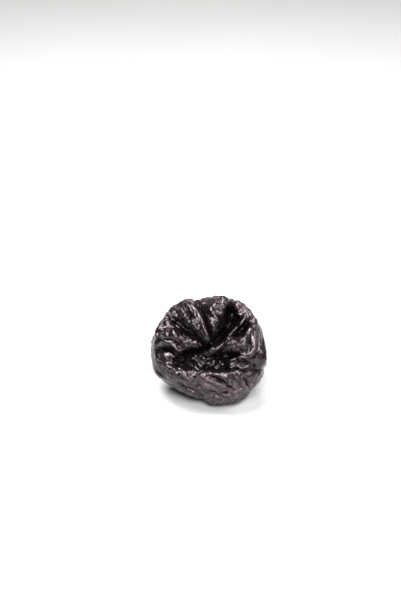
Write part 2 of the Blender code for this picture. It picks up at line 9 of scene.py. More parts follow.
import bpy
import numpy as np
from bpy.props import FloatProperty, IntProperty, PointerProperty, StringProperty
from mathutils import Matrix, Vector


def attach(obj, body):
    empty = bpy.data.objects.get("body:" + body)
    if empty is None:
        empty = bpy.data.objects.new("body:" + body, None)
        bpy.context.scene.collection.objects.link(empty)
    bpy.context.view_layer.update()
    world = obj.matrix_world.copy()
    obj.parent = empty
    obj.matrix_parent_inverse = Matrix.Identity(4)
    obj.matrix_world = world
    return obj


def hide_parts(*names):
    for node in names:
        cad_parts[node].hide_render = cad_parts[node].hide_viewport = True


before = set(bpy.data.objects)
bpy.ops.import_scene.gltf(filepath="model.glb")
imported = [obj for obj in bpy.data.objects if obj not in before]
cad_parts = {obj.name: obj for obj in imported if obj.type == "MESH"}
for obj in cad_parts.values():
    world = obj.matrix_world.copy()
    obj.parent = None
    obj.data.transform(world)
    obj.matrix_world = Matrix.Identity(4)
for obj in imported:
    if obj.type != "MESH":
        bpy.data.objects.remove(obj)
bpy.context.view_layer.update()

bl_info = {
    "name": "Pitted Prune",
    "version": (1, 0, 0),
    "blender": (4, 5, 0),
    "location": "View3D > Sidebar > Prune",
    "description": "Builds a wrinkled pitted prune on a pale table",
    "category": "Add Mesh",
}

MM = 0.001

# Lump, mm
HALF_WIDTH = 17.5
HALF_HEIGHT = 17.4
HALF_THICKNESS = 11.6
ROUNDNESS = 2.12
MIDDLE_ABOVE_TABLE = 13.0

# Sag low at the back: depth in mm, way that it points (right, back, up), and how wide it spreads
SAG_DEPTH = 2.6
SAG_WAY = (0.05, 0.42, -0.9)
SAG_SPREAD = 0.22

# Dish of the face as seen from the front, mm, a little narrower upwards than across
DISH_DEPTH = 1.9
DISH_MIDDLE = (0.5, 3.0)
DISH_NARROWING = 1.05
DISH_INNER_RADIUS = 4.5
DISH_OUTER_RADIUS = 15.5

# Ranges, mm, over which a share goes from nought at the first number to one at the second: of the front
# half by its nearness to the viewer, of the fine wrinkles of the face likewise, of the back by its depth, of
# the deep folds by their height, of the skin above the lip and of its right side as seen from the front,
# whose paler dust leaves painted shade on the left, and of the open skin, not the creases, which are
# darkened as painted shade, by its height
FRONT_HALF = (-4.0, 0.5)
FACE_WRINKLES = (-1.0, 3.5)
BACK_OF_LUMP = (-2, -9)
DEEP_FOLDS = (-0.4, -2.5)
ABOVE_LIP = (-10.5, -5.5)
RIGHT_SIDE = (-11, 2)
OUT_OF_PAINTED_CREASE_SHADE = (-1.4, 0.9)

# The same for the cosine of the angle to the viewer or to the way that the face looks
FACING_VIEWER = (0.15, 0.65)
FRONT_OF_BALL = (-0.1, 0.35)
FACE_OF_BALL = (-0.2, 0.5)

# Least shares: of a fold's height on the sides, and of the dull bloom on the left of the belly, where its
# thin pale dust leaves the colour darker as painted shade
SIDE_SHARE = 0.5
LEAST_DULL_ON_SHADED_LEFT = 0.15

# Rays from the shoulder over the side to the pucker: at this radius, mm, they stand fully apart, and at the
# middle they are drawn together to this share
RAY_RADIUS = 17
RAY_TIGHTEST = 0.35

# Folds over the shoulder and the puckered back: heights, lengths and spacings in mm, the others shares
SHOULDER_FOLD_HEIGHT = 1.0
SHOULDER_FOLD_COUNT = 3.6
SHOULDER_FOLD_LENGTH = 16
SHOULDER_SETBACK = 0.35
SHOULDER_SOFTNESS = 0.1
SHOULDER_DRIFT = 0.35
SHOULDER_DRIFT_SPACING = 6
PUCKER_DEPTH = 2.0
PUCKER_RADIUS = 3.6
PUCKER_MIDDLE = (-1, 1)

# Folds of the face: narrowest width and how far from its route a fold is felt, mm, then the shapes of
# their cross sections
NARROWEST_FOLD = 0.42
FOLD_REACH = 6.0
CREST_SHARPNESS = 0.8
CREASE_SQUARENESS = 2.2

# Crests over which the skin is stretched smooth, and the share of its wrinkles that goes there
STRETCHED_SMOOTH = 0.9
SMOOTH_CRESTS = {
    "pleat", "pleat inner", "hollow thread", "left rim", "left brow", "tail crest", "belly rim", "thin crest",
    "gleam", "side crest", "side rim", "groove arc", "lip fold", "cheek edge", "low crest",
}

# Broad wrinkles, mm, the softness of a wrinkle's crest apart
WRINKLE_SPACING = 3.4
WRINKLE_HEIGHT = 0.16
FACE_WRINKLE_HEIGHT = 0.12
WRINKLE_SOFTNESS = 0.05
WRINKLE_DRIFT = 1.6
WRINKLE_DRIFT_SPACING = 5
BACK_WRINKLE_SPACING = 2.8
BACK_WRINKLE_HEIGHT = 0.4
BACK_WRINKLE_SOFTNESS = 0.08

# Pebbling between the wrinkles, mm: (spacing, height), and how much higher it is on the dull skin
PEBBLES = [(0.95, 0.085), (0.55, 0.035)]
DULL_PEBBLING = 0.8

# Runs of long fine wrinkles, mm: (spacing, share of the height)
RUNS = [(2.2, 1.2), (1.2, 0.8), (0.65, 0.36)]

# A run of the face: how many times its spacing it is long and deep, how far from its place it reaches, mm,
# the softness of its crests, how far they wander, how sharply it blends into its neighbours, the least share
# that is worked out, and the least sum of the shares
RUN_STRETCH = 2.6
RUN_DEPTH = 3
RUN_REACH = 2.6
RUN_SOFTNESS = 0.12
RUN_DRIFT = 0.45
RUN_BLEND = 1.5
LEAST_SHARE = 0.01
LEAST_SUM = 0.002

# Runs of the sides and the back: height, how many stand round it for each mm of spacing, and their wander
BACK_RUN_HEIGHT = 0.3
BACK_RUN_COUNT = 15
BACK_RUN_DRIFT = 0.4

# Large odd numbers that mix the bits of a cell of the noise's lattice into a number of 32 bits
CELL_FACTORS = np.array([374761393, 668265263, 2147483647])
SEED_FACTOR = 1274126177
MIXING_FACTOR = 2246822519
LARGEST_WORD = 0xFFFFFFFF

# Gain that brings the noise to about -1 to 1, and the seeds of the noises
NOISE_GAIN = 1.6
RISE_SEED_STEP = 57
SHOULDER_DRIFT_SEED = 31
SHOULDER_SEED = 34
WRINKLE_DRIFT_SEED = 11
WRINKLE_SEED = 21
BACK_WRINKLE_SEED = 27
RUN_SEED = 200
RUN_SEED_STEP = 300
GRAIN_SEED_STEP = 7
GRAIN_DRIFT_SEED_STEP = 500
BACK_RUN_SEED = 61
BACK_RUN_SEED_STEP = 10
BACK_RIDGE_SEED_STEP = 5
PEBBLE_SEED = 91

# Which way the fine wrinkles of the face run: (across, up, turn from +X in degrees, height in mm)
GRAIN = [
    (-9.5, 11.6, -60, 0.42), (-13.0, 8.6, -50, 0.14), (-5.4, 13.6, -45, 0.14), (-3.4, 7.4, -62, 0.55),
    (-8.0, 7.0, -35, 0.28), (-12.2, 4.6, -60, 0.55), (-5.6, 2.9, -65, 0.45), (-15.8, 0.6, -80, 0.24),
    (-13.2, -3.6, -50, 0.26), (-9.6, -4.2, -35, 0.26), (-14.6, -6.4, -40, 0.20), (-8.0, -7.8, -28, 0.38),
    (-10.5, -10.4, -30, 0.40), (-4.0, -13.0, -25, 0.44), (1.4, 14.4, -55, 0.40), (1.9, 10.8, -55, 0.48),
    (1.4, 7.0, -50, 0.45), (5.0, 14.6, -62, 0.45), (9.4, 14.6, -40, 0.28), (7.4, 2.2, -76, 0.45),
    (11.4, 3.6, 60, 0.36), (14.2, 4.4, -85, 0.14), (16.2, 1.0, -86, 0.08), (12.0, -2.6, -14, 0.10),
    (6.6, -2.8, 18, 0.12), (-3.0, -3.6, 5, 0.36), (13.0, -7.6, -24, 0.20), (2.4, -7.4, -25, 0.34),
    (7.8, -8.2, -42, 0.40), (2.0, -10.6, -32, 0.38), (0.6, -14.2, -10, 0.44), (9.8, -13.6, 34, 0.44),
]

# How the fruit lies: its folds are laid out as seen from the first rise above the table, and its face
# looks up by the second
VIEW_RISE = math.radians(28)
FACE_RISE = math.radians(50)

# How far the faces of the ball crowd towards the face of the fruit, and how often and how far they are
# slid along the skin
CROWDING = 0.5
EVENING_ROUNDS = 24
EVENING_STEP = 0.6

# Patterns of the skin and the board, size in mm
BLOOM_SIZE = 2.4
DUST_SIZE = 1.1
MOISTURE_SIZE = 0.9
PORE_SIZE = 0.5
PORE_DEPTH = 0.11
MOTTLE_SIZE = 40

# Roughness beside the skin's own, its refraction, the tint of its shine, and the board's roughness
MOIST_SMOOTHER = 0.06
DRY_ROUGHER = 0.10
DULL_ROUGHER = 0.11
SKIN_IOR = 1.46
SKIN_SHINE_TINT = (1.0, 0.83, 0.91, 1.0)
BOARD_ROUGHNESS = 0.75

# Stage: distances in m, width of the camera's sensor in mm
LIGHT_DISTANCE = 0.45
TABLE_HALF_SIZE = 1.5
SENSOR_WIDTH = 36.0

# Soft boxes: (name, turn round from the camera and rise, degrees, size in m, share of the power)
SOFT_BOXES = [
    ("left_soft_box", -95, 68, (0.20, 0.20), 1.42),
    ("front_soft_box", 4, 46, (0.20, 0.20), 1.28),
    ("right_soft_box", 95, 44, (0.20, 0.20), 0.58),
    ("back_soft_box", 175, 60, (0.20, 0.20), 0.66),
    ("low_right_soft_box", 34, 24, (0.16, 0.14), 0.16),
]

# Photograph: size in pixels, where the middle of the fruit falls, and pixels to a millimetre there
PHOTO_SIZE = (401, 601)
FRUIT_PIXEL = (208.3, 350.5)
PIXELS_PER_MM = 3.33

# Outline from the front: how far the folds pass the lump and the lump's own mean reach, mm, between which
# distances from the middle the lump is drawn to the outline, and how far along it a named reach is felt
OUTLINE_MARGIN = 0.62
LUMP_REACH = 17.3
DRAWN_TO_OUTLINE = (2, 10)
OUTLINE_BLEND = 0.022

# The outline's named reaches: (turn from +X in degrees, reach in mm)
OUTLINE = [
    (-11, 17.9), (10, 17.2), (32, 17.1), (49, 17.8), (67, 18.1), (85, 17.0), (100, 16.7), (120, 17.2),
    (136, 17.6), (150, 16.9), (162, 17.0), (173, 17.3), (185, 17.4), (199, 17.5), (212, 16.2), (231, 14.7),
    (249, 14.5), (264, 15.3), (282, 16.9), (302, 17.8), (320, 17.5), (337, 17.6),
]

# Folds of the face: name: (height, width on the left of the route, width on its right, route).
# A route's points are (across, up, share of the height, share of the widths).
FOLDS = {
    # pinched mouth and the creases that run out of it
    "mouth": (-8.0, 1.0, 1.0, [
        (7.4, 17.8, 0.25, 0.6), (7.2, 15.4, 0.45, 0.8), (6.7, 13.0, 0.8, 1.3), (7.1, 10.6, 1, 2.5),
        (6.5, 8.2, 1, 2.4), (5.2, 6.1, 1, 2.0), (3.5, 4.2, 0.95, 1.6), (1.6, 2.7, 0.85, 1.2),
        (-0.6, 1.4, 0.6, 0.9)]),
    "mouth tail": (-3.4, 1.0, 1.0, [
        (-0.4, 1.5, 0.8), (-2.4, 0.8, 1), (-4.8, 0.0, 1), (-7.0, -0.8, 1), (-8.6, -2.0, 0.4)]),
    "pleat cleft": (-3.2, 1.0, 1.0, [
        (-3.8, 16.0, 0.2, 0.8), (-2.9, 13.6, 0.85, 1.1), (-1.5, 11.4, 1, 0.8), (-0.8, 9.4, 1, 0.6),
        (-0.1, 7.4, 1, 0.6), (0.5, 5.6, 1, 0.7), (1.0, 4.2, 0.7, 0.8)]),
    "left hollow": (-3.6, 1.0, 1.0, [
        (-11.4, 9.6, 0.4, 0.8), (-9.8, 9.0, 0.9, 1.5), (-7.8, 7.8, 1, 1.7), (-5.6, 6.1, 1, 1.5),
        (-3.4, 4.5, 1, 1.1), (-1.4, 2.9, 0.7, 0.8)]),
    "hollow pocket": (-1.9, 0.7, 0.6, [
        (-7.4, 12.6, 0.3), (-6.3, 11.2, 1), (-5.3, 9.8, 1), (-5.0, 8.4, 0.4)]),
    "pleat valley": (-0.8, 0.4, 0.4, [
        (-5.8, 13.7, 0.5), (-4.1, 11.8, 1), (-2.9, 9.9, 0.9), (-2.2, 8.0, 0.3)]),
    "trench": (-4.4, 1.0, 1.0, [
        (-11.3, -3.0, 0.2, 1.1), (-9.6, -3.2, 0.6, 1.5), (-7.2, -3.1, 0.9, 1.8), (-3.0, -3.1, 1, 2.1),
        (1.6, -3.3, 1, 1.9), (4.6, -3.9, 0.5, 1.2)]),
    "lip groove": (-2.3, 1.0, 1.0, [
        (-1.0, -5.2, 0.5, 0.9), (2.5, -5.4, 0.9, 0.9), (4.8, -5.0, 1, 0.7), (6.6, -5.5, 0.9, 0.55),
        (8.4, -5.1, 0.7, 0.45), (10.4, -5.7, 0.55, 0.42), (12.4, -5.3, 0.5, 0.42),
        (14.4, -5.7, 0.5, 0.42), (16.4, -5.3, 0.4, 0.42), (18.8, -5.2, 0.3, 0.5)]),
    "right groove": (-3.0, 0.9, 0.9, [
        (1.4, -1.6, 0.6), (3.6, -1.7, 1), (6.0, -1.3, 1), (8.4, -0.6, 0.7), (10.0, -0.1, 0.2)]),
    "right hollow": (-4.2, 1.0, 1.0, [
        (12.7, 9.1, 0.2, 0.5), (11.8, 8.2, 0.9, 0.9), (10.3, 6.6, 1, 1.4), (8.8, 5.1, 1, 1.2),
        (7.1, 4.1, 0.6, 0.7)]),
    "side hollow": (-1.3, 0.8, 0.8, [
        (12.9, 5.0, 0.5), (12.8, 2.8, 1), (11.8, 0.8, 0.6)]),
    "edge cleft": (-0.9, 0.42, 0.42, [
        (14.5, 8.2, 0.5), (15.2, 6.6, 1), (15.6, 4.6, 1), (15.8, 2.8, 0.9), (16.0, 0.8, 0.7),
        (16.3, -1.6, 0.3)]),
    "rim valley": (-1.3, 0.55, 0.55, [
        (-12.2, 8.1, 0.4), (-13.7, 6.7, 1), (-14.8, 4.8, 1), (-15.3, 2.8, 0.4)]),
    "lobe valley": (-1.0, 0.4, 0.4, [
        (-15.2, 3.1, 0.4), (-12.6, 3.2, 1), (-10.0, 3.0, 0.9), (-8.8, 2.2, 0.3)]),
    "left pocket": (-1.9, 0.9, 0.9, [
        (-14.6, 0.8, 0.5), (-12.6, 0.8, 1), (-10.8, 0.1, 0.9), (-9.4, -0.8, 0.5)]),
    "belly valley": (-1.9, 0.8, 0.6, [
        (-13.2, -7.8, 0.2), (-11.2, -8.6, 0.7), (-9.4, -9.4, 1), (-7.4, -10.1, 1), (-5.4, -10.9, 1),
        (-3.6, -11.6, 0.9), (-1.8, -12.9, 0.7), (-1.1, -14.6, 0.3)]),
    "lip valley": (-1.5, 0.55, 0.55, [
        (-1.2, -7.2, 0.3), (0.3, -7.3, 0.8), (1.7, -7.6, 1), (3.0, -8.2, 1), (4.4, -9.1, 1),
        (5.8, -10.1, 0.8), (7.2, -10.8, 0.2)]),
    "under fold": (-1.5, 0.55, 0.55, [
        (-0.8, -10.9, 0.3), (0.7, -11.5, 1), (2.2, -12.1, 0.7), (3.4, -12.4, 0.2)]),
    "fold end": (-1.4, 0.5, 0.5, [
        (4.2, -11.5, 0.3), (5.3, -12.0, 1), (6.2, -12.2, 0.3)]),
    "second valley": (-1.3, 0.45, 0.45, [
        (9.2, -7.2, 0.2), (10.2, -8.0, 1), (10.8, -8.9, 0.5), (11.3, -10.0, 1), (11.6, -10.8, 0.2)]),
    "low valley": (-0.9, 0.42, 0.42, [
        (14.4, -10.4, 0.3), (12.0, -11.9, 1), (9.8, -13.3, 0.8), (8.4, -14.8, 0.2)]),
    # crests of skin, left half
    "pleat": (2.4, 1.3, 0.7, [
        (-7.6, 15.4, 0.3, 1.3), (-6.2, 14.5, 0.8, 1.3), (-4.9, 13.3, 1), (-3.5, 11.8, 1),
        (-2.5, 10.1, 1), (-1.8, 8.2, 1), (-1.2, 6.4, 1), (-0.4, 4.6, 0.6)]),
    "pleat inner": (1.3, 0.5, 0.5, [
        (-6.6, 12.6, 0.5), (-5.0, 11.6, 1), (-3.9, 10.5, 1), (-3.3, 9.2, 0.4)]),
    "pleat slope": (2.6, 1.9, 2.0, [
        (-5.2, 10.2, 0.4), (-4.2, 8.0, 1), (-3.0, 6.0, 1), (-1.5, 4.0, 0.8)]),
    "lobe inner": (1.8, 1.5, 0.8, [
        (-8.6, 13.6, 0.4), (-7.8, 11.9, 0.8), (-7.1, 10.3, 1), (-6.5, 9.0, 1), (-6.5, 7.8, 0.3)]),
    "upper lobe": (1.6, 1.9, 1.9, [
        (-11.9, 10.2, 0.4), (-9.9, 11.3, 1), (-7.9, 12.2, 0.8)]),
    "hollow thread": (1.0, 0.45, 0.45, [
        (-9.9, 6.9, 0.5), (-8.2, 6.5, 1), (-7.1, 5.7, 1), (-6.4, 4.8, 1), (-5.2, 4.0, 0.4)]),
    "left rim": (1.7, 0.6, 0.6, [
        (-10.4, 12.0, 0.2), (-11.4, 10.7, 0.7), (-12.6, 9.4, 1), (-13.8, 8.1, 1), (-15.0, 6.7, 1),
        (-16.0, 5.2, 1), (-16.7, 3.6, 0.7), (-16.9, 1.8, 0.3)]),
    "left lobe": (2.2, 1.9, 1.7, [
        (-14.2, 5.3, 0.6), (-12.2, 4.8, 1), (-9.8, 4.4, 1), (-7.4, 3.6, 0.5)]),
    "lobe streak": (0.9, 0.4, 0.4, [
        (-11.2, 6.8, 0.5), (-10.3, 5.7, 1), (-9.4, 4.3, 1), (-8.9, 3.3, 0.3)]),
    "left brow": (1.3, 0.5, 0.5, [
        (-14.6, 1.9, 0.5), (-13.2, 2.5, 1), (-12.0, 2.2, 1), (-10.9, 1.8, 1), (-9.8, 1.0, 1),
        (-8.8, 0.3, 0.4)]),
    "slope foot": (1.6, 1.2, 0.9, [
        (-7.8, 2.7, 0.5), (-5.8, 2.6, 1), (-4.0, 2.4, 1), (-2.4, 1.8, 0.5)]),
    "tail crest": (1.3, 0.5, 0.5, [
        (-7.6, 0.4, 0.5), (-6.6, 1.1, 1), (-5.6, 1.2, 1), (-4.6, 1.0, 0.5)]),
    "left crumb": (0.9, 0.4, 0.4, [
        (-13.2, -4.1, 0.4), (-12.2, -4.4, 1), (-11.7, -5.3, 0.5)]),
    "lower crumb": (0.9, 0.4, 0.4, [
        (-10.9, -4.8, 0.4), (-10.2, -5.3, 1), (-9.6, -5.9, 0.4)]),
    "left arc": (0.9, 0.4, 0.4, [
        (-7.7, -2.9, 0.4), (-7.5, -3.6, 1), (-8.3, -4.5, 0.5)]),
    "belly plate": (1.0, 1.3, 1.3, [
        (-10.8, -7.0, 0.8), (-7.6, -7.6, 1), (-4.6, -8.4, 0.8)]),
    "belly rim": (1.2, 0.6, 0.5, [
        (-16.9, -5.3, 0.5), (-15.6, -7.2, 1), (-13.4, -8.6, 1), (-11.0, -9.7, 1), (-8.6, -10.8, 1),
        (-6.2, -11.9, 1), (-4.0, -12.8, 0.5)]),
    # crests of skin and the basin among them, right half
    "tongue": (2.3, 2.0, 1.9, [
        (2.6, 15.8, 0.5), (2.0, 13.0, 0.9), (1.6, 10.0, 1), (1.3, 7.4, 1), (0.9, 5.2, 0.6)]),
    "tongue pleat": (1.2, 0.5, 0.5, [
        (-2.7, 16.4, 0.6), (-2.2, 15.3, 1), (-1.4, 14.3, 1), (-0.2, 13.0, 1), (0.9, 11.9, 0.8),
        (1.8, 10.8, 0.3)]),
    "top lump": (1.0, 1.0, 0.9, [
        (4.0, 16.0, 0.3), (4.7, 14.7, 1), (5.4, 13.4, 0.7)]),
    "thin crest": (3.2, 0.54, 0.54, [
        (7.2, 12.0, 0.2), (8.1, 12.2, 0.5), (9.1, 11.9, 0.75), (9.9, 11.0, 0.8), (10.5, 10.0, 0.85),
        (10.4, 9.3, 0.9), (9.8, 8.4, 1), (8.6, 7.2, 1), (7.4, 6.1, 1), (6.2, 5.0, 1), (5.2, 3.9, 1),
        (4.4, 2.8, 1), (3.6, 1.6, 0.9), (2.6, 0.5, 0.8), (1.2, -0.6, 0.6), (-0.4, -1.1, 0.2)]),
    "gleam": (5.2, 1.3, 1.5, [
        (-0.6, 0.9, 0.6), (0.3, 1.4, 1), (1.2, 2.3, 1), (2.0, 3.2, 0.4)]),
    "side crest": (1.6, 0.55, 0.45, [
        (13.6, 8.3, 0.5), (14.2, 7.3, 0.9), (14.6, 6.0, 1), (14.7, 4.6, 1), (14.6, 3.2, 1),
        (14.2, 1.8, 1), (13.7, 0.4, 0.9), (12.8, -0.8, 0.5)]),
    "side flap": (0.9, 0.6, 0.6, [
        (13.6, 7.4, 0.6), (12.7, 6.7, 1), (11.8, 6.0, 0.5)]),
    "side rim": (1.4, 0.5, 0.7, [
        (8.0, 15.4, 0.4), (9.7, 14.3, 0.7), (11.1, 13.0, 0.9), (12.2, 11.6, 1), (13.2, 10.4, 1),
        (14.3, 9.0, 1), (15.2, 7.6, 1), (15.8, 6.1, 1), (16.3, 4.4, 1), (16.6, 2.4, 1), (16.8, 0.4, 1),
        (17.0, -1.7, 1), (17.2, -3.6, 0.6)]),
    "side inner": (1.0, 0.45, 0.45, [
        (10.4, 2.0, 0.4), (10.9, 3.4, 1), (11.4, 4.5, 1), (12.3, 5.5, 0.5)]),
    "lobe swell": (2.0, 1.7, 1.6, [
        (5.4, 2.7, 0.6), (7.4, 2.2, 1), (9.8, 1.2, 0.8)]),
    "stria 1": (0.8, 0.35, 0.35, [
        (5.4, 3.5, 0.5), (5.9, 2.4, 1), (6.2, 1.2, 0.5)]),
    "stria 2": (0.8, 0.35, 0.35, [
        (6.4, 3.7, 0.5), (6.8, 2.7, 1), (6.9, 1.6, 0.4)]),
    "stria 3": (0.8, 0.35, 0.35, [
        (7.3, 4.0, 0.4), (7.6, 3.0, 1), (7.8, 1.8, 0.5)]),
    "stria 4": (0.9, 0.4, 0.4, [
        (8.2, 2.7, 0.5), (8.9, 2.0, 1), (10.0, 1.2, 0.6)]),
    "stria 5": (0.8, 0.4, 0.4, [
        (6.9, 1.0, 0.4), (7.8, 0.8, 1), (8.8, 0.3, 0.4)]),
    "groove arc": (0.8, 0.35, 0.35, [
        (6.7, -1.9, 0.3), (7.6, -1.2, 1), (8.4, -1.1, 1), (9.2, -1.8, 0.4)]),
    "right basin": (-1.5, 1.6, 1.9, [
        (4.8, -3.9, 0.6), (8.4, -4.0, 1), (12.0, -4.1, 0.9), (14.4, -4.3, 0.5)]),
    "right streak": (0.8, 0.45, 0.45, [
        (9.8, -1.4, 0.5), (11.0, -2.1, 1), (12.0, -3.0, 0.4)]),
    "island": (3.0, 1.4, 1.4, [
        (-5.4, -2.9, 0.4), (-2.2, -3.2, 1), (0.6, -3.0, 1), (2.0, -3.5, 0.4)]),
    "island left": (0.9, 0.45, 0.45, [
        (-5.2, -2.1, 0.4), (-4.2, -2.3, 1), (-3.2, -2.7, 0.4)]),
    "island curl": (1.1, 0.4, 0.4, [
        (-2.2, -2.2, 0.4), (-0.8, -2.3, 1), (0.4, -1.9, 1), (1.3, -1.8, 1), (1.8, -2.6, 1),
        (1.5, -3.8, 1), (0.7, -4.3, 1), (-0.1, -3.8, 0.4)]),
    "island hook": (1.0, 0.4, 0.4, [
        (-2.9, -3.5, 0.4), (-2.6, -4.2, 1), (-1.9, -4.3, 1), (-1.4, -3.8, 0.4)]),
    "lip crest": (1.6, 0.9, 0.8, [
        (-2.8, -7.2, 0.4), (-1.2, -6.5, 1), (0.6, -6.3, 1), (2.2, -6.5, 1), (3.4, -7.0, 1),
        (4.4, -7.7, 1), (5.3, -8.5, 1), (6.2, -9.1, 0.8), (7.4, -9.5, 0.3)]),
    "lip fold": (2.4, 0.6, 1.2, [
        (-2.6, -7.6, 0.4), (-1.2, -7.9, 0.9), (0.2, -8.2, 1), (1.5, -8.6, 1), (2.8, -9.3, 1),
        (4.0, -10.1, 1), (5.0, -10.8, 1), (6.0, -11.4, 0.4)]),
    "lip fold low": (1.1, 0.5, 0.5, [
        (-1.9, -9.2, 0.5), (-0.5, -10.1, 1), (0.8, -10.6, 0.7), (1.9, -11.2, 0.2)]),
    "lip shoulder": (1.9, 0.9, 0.8, [
        (5.2, -6.9, 0.5), (5.9, -6.3, 1), (6.8, -5.9, 1), (7.8, -6.0, 1), (8.8, -6.5, 0.8),
        (9.8, -7.3, 0.3)]),
    "second ridge": (0.9, 0.5, 0.5, [
        (5.6, -7.0, 0.4), (7.9, -7.6, 1), (9.6, -8.9, 1), (10.5, -10.4, 0.4)]),
    "cheek": (1.2, 1.9, 1.9, [
        (11.0, -7.1, 0.7), (13.0, -7.4, 1), (15.2, -7.6, 0.7)]),
    "cheek edge": (0.8, 0.35, 0.45, [
        (12.2, -5.9, 0.4), (13.3, -5.7, 1), (14.8, -6.2, 0.4)]),
    "low crest": (0.9, 0.5, 0.5, [
        (15.4, -8.7, 0.4), (13.9, -9.7, 1), (12.4, -10.5, 1), (10.9, -11.4, 1), (9.4, -12.2, 1),
        (8.3, -13.0, 0.8), (7.5, -14.2, 0.3)]),
    "low swell": (0.6, 0.9, 0.9, [
        (1.2, -14.2, 0.5), (4.0, -13.6, 1), (6.8, -12.9, 0.6)]),
}

RIGHT = np.array([1.0, 0.0, 0.0])
VIEW_UP = np.array([0.0, math.sin(VIEW_RISE), math.cos(VIEW_RISE)])
TO_VIEWER = np.array([0.0, -math.cos(VIEW_RISE), math.sin(VIEW_RISE)])
FACE_UP = np.array([0.0, math.sin(FACE_RISE), math.cos(FACE_RISE)])
FACE_OUT = np.array([0.0, -math.cos(FACE_RISE), math.sin(FACE_RISE)])


# Numbers and noise

def unit(vectors):
    """Vectors of length one."""
    return vectors / np.linalg.norm(vectors, axis=-1, keepdims=True)


def smoothstep(low, high, x):
    """Nought at low, one at high, with a smooth start and end."""
    t = np.clip((x - low) / (high - low), 0, 1)
    return t * t * (3 - 2 * t)


def lattice_value(cell, seed):
    """Even spread of numbers from 0 to 1, one for each whole-number cell, made by mixing the cell's bits."""
    n = (cell @ CELL_FACTORS + seed * SEED_FACTOR) & LARGEST_WORD
    n = ((n ^ (n >> 13)) * SEED_FACTOR) & LARGEST_WORD
    n = ((n ^ (n >> 15)) * MIXING_FACTOR) & LARGEST_WORD
    return (n ^ (n >> 16)) / (LARGEST_WORD + 1)


def noise(points, seed):
    """Gradient noise, about -1 to 1: a random slope at each lattice corner, blended by a quintic weight."""
    cell = np.floor(points).astype(np.int64)
    offset = points - cell
    weight = offset * offset * offset * (offset * (offset * 6 - 15) + 10)
    total = np.zeros(len(points))
    for corner in np.ndindex(2, 2, 2):
        share = np.prod(np.where(corner, weight, 1 - weight), axis=1)
        turn = 2 * math.pi * lattice_value(cell + corner, seed)
        rise = 2 * lattice_value(cell + corner, seed + RISE_SEED_STEP) - 1
        level = np.sqrt(1 - rise * rise)
        slope = np.stack([level * np.cos(turn), level * np.sin(turn), rise], axis=1)
        total += share * ((offset - corner) * slope).sum(axis=1)
    return NOISE_GAIN * total


def noise_vector(points, seed):
    """Three noises side by side, for shifting points."""
    return np.stack([noise(points, seed), noise(points, seed + 1), noise(points, seed + 2)], axis=1)


def ridged(points, seed, softness):
    """Crests along the noise's zero lines, from about -1 in the hollows to 1 on a crest."""
    n = noise(points, seed)
    return 1 - 2 * np.sqrt(n * n + softness * softness)


# Folds

def smooth_route(points, steps=5):
    """Catmull-Rom curve through a route's points, read at even steps."""
    route = np.array([tuple(p) + (1.0,) * (4 - len(p)) for p in points])
    route = np.vstack([2 * route[0] - route[1], route, 2 * route[-1] - route[-2]])
    t = np.linspace(0, 1, steps, endpoint=False)[:, None]
    spans = []
    for a, b, c, d in zip(route, route[1:], route[2:], route[3:]):
        bend = (2 * a - 5 * b + 4 * c - d) * t ** 2 + (3 * b - a - 3 * c + d) * t ** 3
        spans.append(0.5 * (2 * b + (c - a) * t + bend))
    return np.vstack(spans + [route[-2:-1]])


def dish(across, up):
    """How far the face is dished, mm: deepest round its middle, nothing near the outline."""
    from_middle = np.hypot(across - DISH_MIDDLE[0], DISH_NARROWING * (up - DISH_MIDDLE[1]))
    return DISH_DEPTH * (1 - smoothstep(DISH_INNER_RADIUS, DISH_OUTER_RADIUS, from_middle))


def skin_lean(across, up):
    """Normal of a plain ellipsoid with the fruit's half sizes where it is seen at (across, up).

    The depth of the point comes from the ellipsoid's equation, a quadratic in the depth.
    """
    lift = FACE_OUT @ VIEW_UP
    level = FACE_OUT @ TO_VIEWER
    square = (lift / HALF_HEIGHT) ** 2 + (level / HALF_THICKNESS) ** 2
    single = lift * level * up * (1 / HALF_THICKNESS ** 2 - 1 / HALF_HEIGHT ** 2)
    rest = (level * up / HALF_HEIGHT) ** 2 + (lift * up / HALF_THICKNESS) ** 2
    rest += (across / HALF_WIDTH) ** 2 - 1
    depth = (np.sqrt(np.maximum(single ** 2 - square * rest, 0)) - single) / square
    normals = np.outer(across / HALF_WIDTH ** 2, RIGHT)
    normals += np.outer((level * up - lift * depth) / HALF_HEIGHT ** 2, FACE_UP)
    normals += np.outer((lift * up + level * depth) / HALF_THICKNESS ** 2, FACE_OUT)
    return unit(normals)


def along_route(across, up, route):
    """Signed distance to a route, positive on its left, and the shares at the nearest place on it."""
    nearest = np.full(len(across), np.inf)
    side = np.zeros(len(across))
    shares = np.zeros((len(across), 2))
    for start, end in zip(route, route[1:]):
        step = end[:2] - start[:2]
        length = math.hypot(*step)
        dx = across - start[0]
        dy = up - start[1]
        t = np.clip((dx * step[0] + dy * step[1]) / length ** 2, 0, 1)
        gap = np.hypot(dx - t * step[0], dy - t * step[1])
        closer = gap < nearest
        nearest = np.where(closer, gap, nearest)
        side = np.where(closer, np.sign(step[0] * dy - step[1] * dx), side)
        shares = np.where(closer[:, None], start[2:] + np.outer(t, end[2:] - start[2:]), shares)
    return nearest * np.where(side < 0, -1, 1), shares


